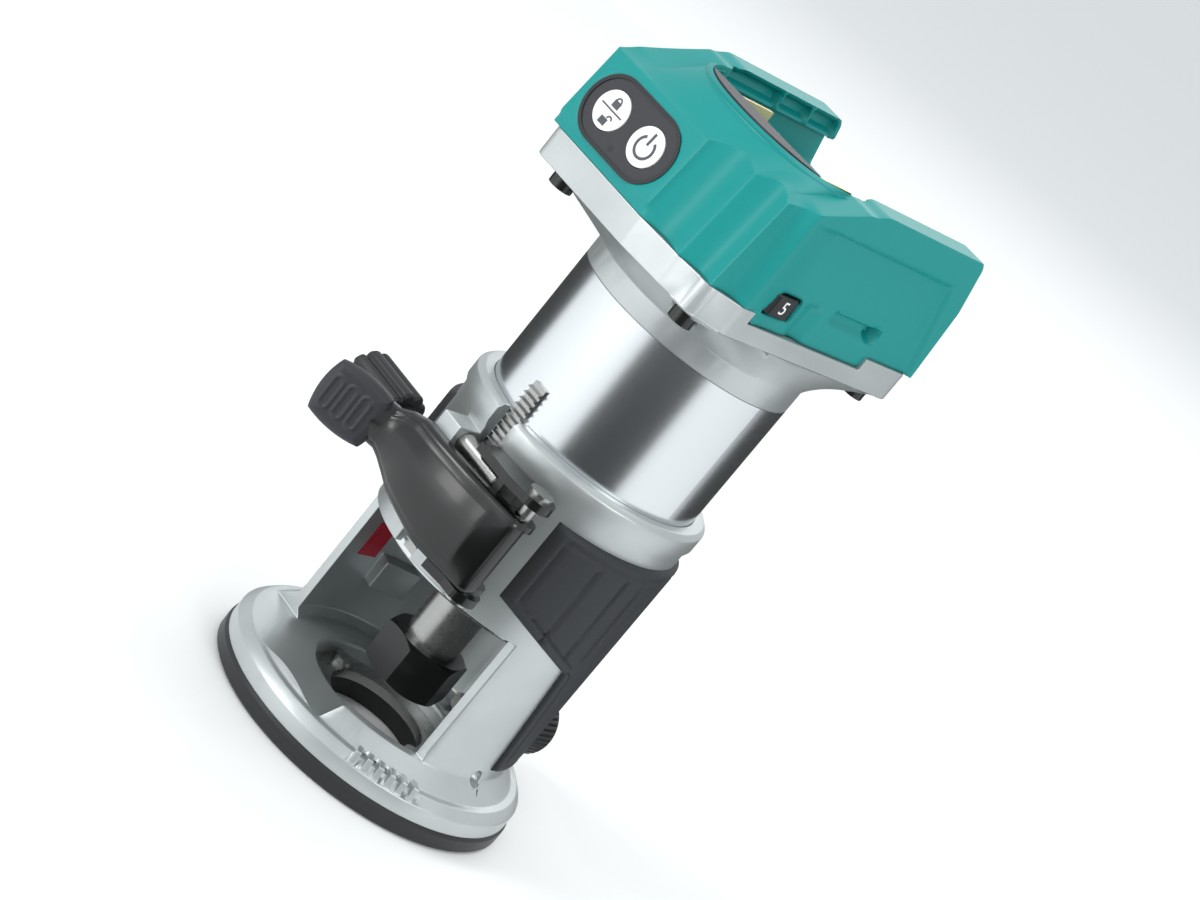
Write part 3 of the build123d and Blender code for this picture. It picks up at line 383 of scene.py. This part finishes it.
def head_station(t, r, drop):
    """One section of the skin, from the bottom left edge over the top to the bottom right.
    t runs over the deck to the crest, drop goes down the crest wall (0 to 1) and opens the
    grooves under the lips (2), and r runs from the crest to the rear end."""
    sin_x = LIP_X * np.sin(np.linspace(pi / 2, 0, 61))
    halves = []
    for side in (1, -1):
        corner = CORNER_X if side > 0 else -SIDE
        start = float(front_wall(np.float64(corner), LOW + 10)) - 10 * LEAN
        # Outer wall, up to the deck or the rail top.
        top = deck_edge(np.float64(corner)) * (1 - t ** 1.2) + 199.9 * t ** 1.2 \
            + 1.6 * step(r, 0.08, 0.14)
        y_plan = start + (CREST_Y - start) * t
        skirt = 3.4 * band(y_plan if r == 0 else CREST_Y + 60 * r, -31.0, 19.4, 0.5) * (side > 0)
        low_z = LOW - skirt + (WALL[:26] - LOW) / (FLOOR - LOW) * (FLOOR - LOW + skirt)
        high_z = FLOOR + (WALL[26:] - FLOOR) / (TOP - FLOOR) * (top - FLOOR)
        z = np.concatenate([low_z, high_z])
        a = np.clip((y_plan - start) / 9.5, 0, 1)
        if r > 0:
            x, y = np.full(len(z), side * SIDE), CREST_Y + r * (rear_face(z) - CREST_Y)
        elif side > 0:
            x = np.full(len(z), corner + (SIDE - corner) * a - 1.5 * np.sin(pi * a))
            y = y_plan + 0.8 * np.sin(pi * a) + (front_wall(np.float64(corner), z) - start) * (1 - a)
        else:
            x = np.full(len(z), -SIDE)
            y = y_plan + (front_wall(np.float64(corner), z) - start) * (1 - a)
        outer = np.stack([x - side * side_relief(side, y, z), y, z], 1)
        # Deck or cradle floor from the lip line to the middle.
        xs = side * sin_x
        crest = CREST_Y - 19.0 * np.sqrt(np.clip(1 - (xs / LIP_X) ** 2, 0, 1))
        edge_z = deck_edge(xs)
        edge_y = front_wall(xs, edge_z)
        deck_z = edge_z + (199.0 + 0.9 * (np.abs(xs) / LIP_X) ** 6 - edge_z) * t ** 1.2
        deck_y = edge_y + (crest - edge_y) * t
        if drop == 0:
            middle = np.stack([xs, deck_y, deck_z], 1)
        else:
            down = deck_z + min(drop, 1) * (FLOOR - deck_z)
            middle = np.stack([xs, crest + r * (rear_face(FLOOR) - crest), down], 1)
        # Lip face, its underside and the groove wall, all gathered at the lip line in front.
        inner_top = deck_z[0] if r == 0 else 199.9 + 1.6 * step(r, 0.08, 0.14)
        lip_z = LIP_LOW + (WALL[37:][::-1] - LIP_LOW) / (TOP - LIP_LOW) * (inner_top - LIP_LOW)
        groove_z = WALL[25:38][::-1]
        gather_y, gather_z = middle[0, 1], middle[0, 2]
        if drop == 0:
            lip_z, groove_z = lip_z * 0 + gather_z, groove_z * 0 + gather_z
            lip_y, groove_y = lip_z * 0 + gather_y, groove_z * 0 + gather_y
        else:
            lip_z, groove_z = np.maximum(lip_z, gather_z), np.maximum(groove_z, gather_z)
            lip_y = CREST_Y + r * (rear_face(lip_z) - CREST_Y)
            groove_y = CREST_Y + r * (rear_face(groove_z) - CREST_Y)
        pocket = 3.0 * band(lip_z, 196.6, 200.4) * sum(
            band(lip_y, a, b) for a, b in ((-17.5, 5), (7, 19), (21, 32))) * (drop == 2)
        lip = np.stack([side * (LIP_X + pocket), lip_y, lip_z], 1)
        groove_x = np.full(13, side * (GROOVE_X if drop == 2 else LIP_X))
        groove = np.stack([groove_x, groove_y, groove_z], 1)
        # Rail top between the outer wall and the lip.
        f = ((SIDE - RAIL) / (SIDE - LIP_X))[:, None]
        inner = np.array([side * LIP_X, lip_y[0], inner_top if r > 0 or drop else gather_z])
        rail = outer[-1] * (1 - f) + inner * f
        halves.append(np.concatenate([outer, rail, lip, groove, middle[1:]]))
    return np.concatenate([halves[1], halves[0][::-1][1:]])


def head_skin():
    """All sections as one sheet, closed by the front wall and the rear end."""
    stations = [(t, 0.0, 0) for t in np.linspace(0, 1, 31)]
    stations += [(1.0, 0.0, d) for d in (0.06, 0.12, 0.25, 0.45, 0.65, 0.85, 0.94, 1)]
    stations += [(1.0, r, 2) for r in np.concatenate([[0], np.linspace(0, 1, 76)[1:]])]
    rows = np.array([head_station(*s) for s in stations])
    count, columns = rows.shape[:2]
    # The dial window: rows 4 to 11 of the right wall, with slanted ends.
    wall = columns - 1 - np.arange(45)
    ends = {}
    for j in range(4, 12):
        z = rows[15, wall[j], 2]
        for key, y in ((0, -31.1 + 0.49 * (z - 165.6)), (1, -16.3 - 0.12 * (z - 166.0))):
            nearest = int(np.argmin(np.abs(rows[:, wall[j], 1] - y)))
            rows[nearest, wall[j], 1] = y
            ends[j, key] = nearest
    openings = {(i, wall[j] - 1) for j in range(4, 11) for i in range(ends[j, 0], ends[j, 1])}
    points = list(rows.reshape(-1, 3))
    faces = quads(count, columns, skip=lambda r, c: (r, c) in openings)
    # Front wall below the deck's edge; open behind the button panel.
    edge = rows[0, 44:columns - 44]
    start = len(points)
    pod = []
    for z_row in WALL:
        for x, y, z in edge:
            low = z_row if z_row <= FLOOR else FLOOR + (z_row - FLOOR) / (TOP - FLOOR) * (z - FLOOR)
            at_y = y if z_row == TOP else float(front_wall(np.float64(x), low))
            up_face = (low - 177.8) / cos(radians(8.0))
            reach = np.hypot(max(abs(x + 15.5) - 7.7, 0), up_face) - 9.5
            at_y += 1.6 * float(1 - step(np.float64(reach), -0.7, 0.7)) if x < 4.8 else 0
            points.append((x, at_y, low))
            pod.append(reach)
    pod = np.array(pod).reshape(len(WALL), -1)
    faces += quads(len(WALL), len(edge), start, skip=lambda r, c: pod[r:r + 2, c:c + 2].max() < -1.9)
    # Rear end: the body below the floor, and the two rail ends.
    rear = rows[-1]
    across = np.concatenate([[rear[0, 0]], -RAIL[:5], rear[45 + 7 + 8 + 13:columns - 73, 0],
                             RAIL[:5][::-1], [rear[-1, 0]]])
    start = len(points)
    for z in WALL[:26]:
        points += [(x, float(rear_face(z)), z) for x in across]
    faces += quads(26, len(across), start)
    for side in (1, -1):
        upper = np.concatenate([[SIDE], RAIL, [LIP_X]])
        start = len(points)
        for z in WALL[25:]:
            points += [(side * x, float(rear_face(z)), z) for x in upper]
        faces += quads(20, 9, start, skip=lambda r, c: r < 12 and c > 4)
    return points, faces


head = make_piece("head_housing_moulding", *head_skin(), teal, "motor_unit", 50)
smooth = head.modifiers.new("soft_edges", "SMOOTH")
smooth.factor, smooth.iterations = 0.5, 2
wall = head.modifiers.new("wall", "SOLIDIFY")
wall.thickness, wall.offset = 0.0016, -1.0
# Above their pockets the rails' lips are thinner than the wall, so the wall is a tenth as
# thick on those overhangs.
overhang = {v for face in head.data.polygons if face.normal.z < -0.2 and face.center.z > 0.2
            for v in face.vertices}
share = head.vertex_groups.new(name="wall_share")
share.add([v.index for v in head.data.vertices if v.index not in overhang], 1.0, "ADD")
share.add(list(overhang), 0.1, "ADD")
wall.vertex_group = share.name
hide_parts("head_housing")

# ---- clamp lever -------------------------------------------------------------------------------
# Pressed steel sheet in black enamel. It curves round the front of the collar, its upper and
# lower edges are folded inward, its end is folded round the hinge pin, and an ear on each
# edge turns on that pin.
HINGE, EAR_THICK = (23.0, -36.0), 1.9


def smooth_path(points, count):
    """Points at even steps of a Catmull-Rom curve through the given points."""
    p = np.asarray(points, float)
    p = np.concatenate([[2 * p[0] - p[1]], p, [2 * p[-1] - p[-2]]])
    made = []
    for u in np.linspace(0, len(points) - 1.000001, count):
        i, t = int(u), u - int(u)
        a, b, c, d = p[i:i + 4]
        made.append(0.5 * (2 * b + (c - a) * t + (2 * a - 5 * b + 4 * c - d) * t ** 2
                           + (3 * b - a - 3 * c + d) * t ** 3))
    return np.array(made)


def lever_sheet():
    """The fold line runs along the path; across it the sheet goes from the lower fold's edge,
    up the bulged face to the upper fold's edge."""
    path = smooth_path([(26.7, -37.6), (26.9, -39.4), (26.4, -41.2), (24.8, -42.2), (17.5, -44.2),
                        (9.0, -46.3), (-2.0, -47.5), (-12.0, -47.3), (-16.5, -47.7),
                        (-20.5, -49.6), (-26.5, -53.6)], 120)
    along = np.gradient(path, axis=0)
    along /= np.linalg.norm(along, axis=1)[:, None]
    inward = np.stack([-along[:, 1], along[:, 0]], 1) * -1.0
    points = []
    for (x, y), (nx, ny) in zip(path, inward):
        low = np.interp(x, [-18, -14, -7, 8], [73.0, 71.2, 68.4, 65.2])
        high = np.interp(x, [-18.5, -15.5, -11, 4], [84.3, 86.2, 87.6, 87.8])
        fold = np.interp(x, [-20, -12, 8, 16], [0.9, 2.0, 2.4, 3.0])
        r = 1.6
        bend = np.linspace(0, pi / 2, 6)
        depth = np.concatenate([np.linspace(fold + r, r, 4)[:-1], r - r * np.sin(bend)])
        rise = np.concatenate([np.zeros(3), r - r * np.cos(bend)])
        face = np.linspace(low + r, high - r, 22)[1:-1]
        bulge = -1.9 * np.sin(pi * (face - low) / (high - low)) * np.interp(x, [20, 26.4], [1, 0])
        z = np.concatenate([low + rise, face, high - rise[::-1]])
        inset = np.concatenate([depth, bulge, depth[::-1]])
        points += [(x + nx * d, y + ny * d, h) for d, h in zip(inset, z)]
    columns = len(z)
    return points, quads(len(path), columns)


def flat_ring(centre, outer, inner, low, high, count=48):
    """A closed flat washer on a vertical axis."""
    angles = np.linspace(0, 2 * pi, count, endpoint=False)
    points = [(centre[0] + r * cos(a), centre[1] + r * sin(a), z)
              for r, z in ((inner, low), (outer, low), (outer, high), (inner, high), (inner, low))
              for a in angles]
    return points, quads(5, count, wrap=True)


sheet = make_piece("clamp_lever_sheet", *lever_sheet(), black_steel, "lever", 60)
gauge = sheet.modifiers.new("gauge", "SOLIDIFY")
gauge.thickness, gauge.offset = 0.0015, 0.0
ears = []
for level in (65.2, 85.9):
    made = flat_ring(HINGE, 4.3, 2.28, level, level + EAR_THICK)
    ears.append(make_piece(f"clamp_lever_ear_{int(level)}", *made, black_steel, "lever"))
    arm_x, arm_y = np.array([19.2, 26.2, 26.6, 20.4]), np.array([-42.6, -40.6, -37.4, -38.4])
    block = [(x, y, z) for z in (level, level + EAR_THICK) for x, y in zip(arm_x, arm_y)]
    faces = [(0, 1, 2, 3), (4, 5, 6, 7)]
    faces += [(i, (i + 1) % 4, (i + 1) % 4 + 4, i + 4) for i in range(4)]
    ears.append(make_piece(f"clamp_lever_arm_{int(level)}", block, faces, black_steel, "lever"))
for piece in [sheet] + ears:
    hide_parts("clamp_lever")


# The pad's front centre, its half width along the tool and half height, and its thickness.
PAD_X, PAD_Y, PAD_Z, PAD_HALF_WIDE, PAD_HALF_HIGH, PAD_THICK = -26.0, -56.2, 78.0, 9.5, 9.0, 5.2


def thumb_pad():
    """Two square grids, front and back, drawn in to a rounded outline and meeting at its rim.
    The front is domed and carries three raised oval lines."""
    across, inward = np.array([0.829, 0.559]), np.array([-0.559, 0.829])
    s = np.sin(np.linspace(-pi / 2, pi / 2, 71))
    s = 0.5 * s + 0.5 * np.linspace(-1, 1, 71)
    points = []
    for back in (0, 1):
        for b in s:
            for a in s:
                u, v = a * sqrt(1 - 0.26 * b * b), b * sqrt(1 - 0.26 * a * a)
                edge = max(abs(a), abs(b))
                round_off = 2.6 * (1 - sqrt(max(1 - max(edge - 0.72, 0) ** 2 / 0.0784, 0)))
                depth = PAD_THICK - round_off if back else round_off - 0.4 * (1 - edge ** 2)
                if not back:
                    for middle in (-5.4, -1.0, 3.4):
                        beyond = max(abs(v * PAD_HALF_HIGH) - 3.5, 0)
                        reach = abs(np.hypot(u * PAD_HALF_WIDE - middle, beyond) - 1.35)
                        depth -= 0.35 * (1 - step(reach, 0.42, 0.45))
                depth = PAD_THICK / 2 if edge > 0.9999 else depth
                x, y = np.array([PAD_X, PAD_Y]) + across * u * PAD_HALF_WIDE + inward * depth
                points.append((x, y, PAD_Z + v * PAD_HALF_HIGH))
    return points, quads(71, 71) + quads(71, 71, 71 * 71)


pad = make_piece("thumb_pad", *thumb_pad(), grey_plastic, "lever", 60)
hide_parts("lever_pad")


# ---- turned and fluted knobs -------------------------------------------------------------------
# Black mouldings on steel shafts: a deeply lobed one for the height and a finely ribbed one
# for the guide screw.
def turned(profile, origin, axis, lobes=0, depth=0.0, fluted=(0.0, 0.0), count=240):
    """Turns an (along, radius) profile about an axis, sinking rounded flutes into the part of
    it that lies between two positions along the axis and is further out than 5 mm."""
    axis = np.asarray(axis, float)
    side = np.array([0.0, 0.0, 1.0])
    other = np.cross(axis, side)
    angles = np.linspace(0, 2 * pi, count, endpoint=False)
    points = []
    for along, radius in profile:
        cut = np.zeros(count)
        if lobes and radius > 5 and fluted[0] <= along <= fluted[1]:
            cut = depth * np.abs(np.cos(angles * lobes / 2)) ** 6
        reach = (radius - cut)[:, None]
        points += list(np.asarray(origin) + axis * along
                       + reach * (np.cos(angles)[:, None] * side + np.sin(angles)[:, None] * other))
    return points, quads(len(profile), count, wrap=True)


def rounded(low, high, radius, corner, steps=6):
    """Profile of a cylinder's outside with rounded ends."""
    turn_by = np.linspace(0, pi / 2, steps)
    ends = [(low + corner - corner * cos(a), radius - corner + corner * sin(a)) for a in turn_by]
    middle = [(x, radius) for x in np.linspace(low + corner, high - corner, 8)[1:-1]]
    return ends + middle + [(low + high - x, r) for x, r in ends[::-1]]


knob_profile = [(-43.0, 0.0)] + rounded(-43.0, -24.0, 8.0, 1.3) + [
    (-24.0, 4.5), (-21.5, 4.5), (-21.5, 2.03), (-40.0, 2.03), (-40.0, 0.0)]
knob = make_piece("height_knob_lobed", *turned(knob_profile, (0, -38.8, 79.5), (1, 0, 0), 10, 1.1,
                                               (-43, -24)), black_plastic, "height_adjuster", 50)
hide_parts("height_knob")
knob_profile = [(61.5, 0.0)] + rounded(48.0, 61.5, 10.0, 1.2)[::-1] + [
    (48.0, 5.0), (47.4, 5.0), (47.4, 3.03), (58.0, 3.03), (58.0, 0.0)]
knob = make_piece("guide_knob_ribbed", *turned(knob_profile, (0, 0, 15.0), (0, 1, 0), 36, 0.55,
                                               (48.2, 61.0), 432), black_plastic, "guide_clamp", 60)
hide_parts("guide_knob")


# ---- grips -------------------------------------------------------------------------------------
# Rubber pads glued into the casting's sides, with rounded rims and four upright grooves.
GRIP_LOW, GRIP_TOP, CASTING_RADIUS, GRIP_RADIUS = 20.0, 91.0, 36.02, 37.6
GROOVES = (-12.5, -2.6, 4.6, 11.0, 17.5)


def grip(side):
    """Outer and inner sheets between the pad's two curved borders, wrapped on the casting."""
    rows = np.concatenate([np.linspace(GRIP_LOW, 54, 36), np.linspace(55, 66, 30),
                           np.linspace(67, GRIP_TOP, 28)])
    across = np.linspace(0, 1, 81)
    points = []
    for inner in (0, 1):
        for z in rows:
            left = np.interp(z, [20, 55, 66, 91], [7.8, 2.6, -25.6, -25.6])
            right = np.interp(z, [20, 34, 91], [24.0, 27.0, 28.8])
            for a in across:
                y = left + (right - left) * a
                rim = min(y - left, right - y, z - GRIP_LOW, GRIP_TOP - z)
                if y < 2.6:
                    rim = min(rim, 0.93 * (z - 66.0 + 0.39 * (y + 25.6)))
                rim = max(rim, 0.0)
                radius = CASTING_RADIUS
                if not inner and rim > 0.01:
                    radius = GRIP_RADIUS - 1.3 + 1.3 * sqrt(1 - max(1 - rim / 1.6, 0) ** 2)
                    radius -= 0.5 * band(rim, 2.4, 3.0, 0.5)
                    for groove in GROOVES:
                        deep = max(1 - abs(y - groove) / 0.8, 0)
                        radius -= 0.9 * deep * band(z, 60, 86.5, 3.0)
                points.append((side * sqrt(radius ** 2 - y ** 2), y, z))
    count = len(rows)
    return points, quads(count, 81) + quads(count, 81, count * 81)


for side, name in ((1, "right_grip"), (-1, "left_grip")):
    rubber_pad = make_piece(name + "_rubber", *grip(side), rubber, "base", 60)
    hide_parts(name)


# ---- speed dial --------------------------------------------------------------------------------
# A small black thumb wheel with flats between raised ribs; white numbers 1 to 6 are printed on six
# of the flats.
DIAL_X, DIAL_Y, DIAL_Z, FLAT_REACH = 25.2, -24.0, 169.2, 10.0


def dial_wheel():
    """A ring whose rim has ten flats with a rib between each pair."""
    angles = np.radians(np.arange(0, 360, 1.5))
    off = (np.degrees(angles) + 18) % 36 - 18
    flat = np.minimum(10.0 * cos(radians(18)) / np.cos(np.radians(off)) + 0.45, 10.3)
    rim = np.where(np.abs(np.abs(off) - 18) < 2.2, 10.5, flat)
    points = []
    for z, grow, hole in ((166.2, 0, 1), (166.2, -0.5, 0), (166.6, 0, 0), (171.8, 0, 0),
                          (172.2, -0.5, 0), (172.2, 0, 1), (166.2, 0, 1)):
        reach = np.full(len(angles), 1.56) if hole else rim + grow
        points += [(DIAL_X + r * cos(a), DIAL_Y + r * sin(a), z) for r, a in zip(reach, angles)]
    return points, quads(7, len(angles), wrap=True)


wheel = make_piece("speed_dial_wheel", *dial_wheel(), black_plastic, "speed_dial", 25)
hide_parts("speed_dial")
for number in range(1, 7):
    text = bpy.data.curves.new(f"numeral_{number}", "FONT")
    text.body, text.size, text.align_x, text.align_y = str(number), 0.0052, "CENTER", "CENTER"
    text.extrude = 0.00004
    holder = bpy.data.objects.new(f"numeral_{number}", text)
    bpy.context.scene.collection.objects.link(holder)
    bpy.context.view_layer.update()
    shape = bpy.data.meshes.new_from_object(holder)
    bpy.data.objects.remove(holder)
    angle = radians((5 - number) * 36)
    stand = Matrix(((0, 0, 1), (1, 0, 0), (0, 1, 0))).to_4x4()
    centre = Vector((DIAL_X, DIAL_Y, DIAL_Z)) / 1000
    shape.transform(Matrix.Translation(centre) @ Matrix.Rotation(angle, 4, "Z")
                    @ Matrix.Translation((FLAT_REACH / 1000, 0, 0)) @ stand)
    shape.materials.clear()
    shape.materials.append(white_film)
    numeral = bpy.data.objects.new(f"dial_numeral_{number}", shape)
    bpy.context.scene.collection.objects.link(numeral)
    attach(numeral, "speed_dial")


# ---- printing on the two buttons ---------------------------------------------------------------
# Thin grey symbols on the white caps: closed and open padlocks on one, a power sign on the other.
FACE_Y, FACE_Z, FACE_LEAN = -50.4, 177.8, radians(8)


def print_on(name, middle, shapes, body):
    """Prisms 0.08 mm thick on the button face; a shape is an outline in millimetres on the cap,
    or an open line of points with a width."""
    points, faces = [], []
    for outline, width in shapes:
        line = np.asarray(outline, float)
        if width:
            way = np.gradient(line, axis=0)
            way /= np.linalg.norm(way, axis=1)[:, None]
            edge = np.stack([-way[:, 1], way[:, 0]], 1) * width / 2
            low, high = line - edge, line + edge
            strips = [np.stack([low[i], low[i + 1], high[i + 1], high[i]])
                      for i in range(len(line) - 1)]
        else:
            strips = [line]
        for corners in strips:
            start, n = len(points), len(corners)
            for lift in (0.21, 0.29):
                points += [(middle + u, FACE_Y + v * sin(FACE_LEAN) - lift * cos(FACE_LEAN),
                            FACE_Z + v * cos(FACE_LEAN) + lift * sin(FACE_LEAN))
                           for u, v in corners]
            faces += [tuple(range(start, start + n)), tuple(range(start + n, start + 2 * n))]
            faces += [(start + i, start + (i + 1) % n, start + (i + 1) % n + n, start + i + n)
                      for i in range(n)]
    return make_piece(name, points, faces, print_grey, body)


def arc(u, v, radius, low, high, count=24):
    """Points along a circle's arc, in degrees."""
    return [(u + radius * cos(radians(a)), v + radius * sin(radians(a)))
            for a in np.linspace(low, high, count)]


def box(u, v, width, height):
    """Corners of an upright rectangle about its middle."""
    return [(u - width / 2, v - height / 2), (u + width / 2, v - height / 2),
            (u + width / 2, v + height / 2), (u - width / 2, v + height / 2)]


print_grey, _, _ = material("grey_printing_ink", "4a4b50", 0.5)
print_on("power_symbol", -7.9, [(arc(0, -0.3, 2.9, 125, 415, 40), 0.75),
                                (box(0, 2.3, 0.75, 3.6), 0)], "power_button")
print_on("lock_symbol", -23.1, [
    (box(0, 0, 8.2, 0.4), 0),
    (box(0, 1.75, 2.5, 1.9), 0), (arc(0, 2.7, 0.85, 0, 180), 0.42),
    (box(0, -3.3, 2.5, 1.9), 0), (arc(1.3, -2.2, 0.85, 10, 180), 0.42)], "lock_button")
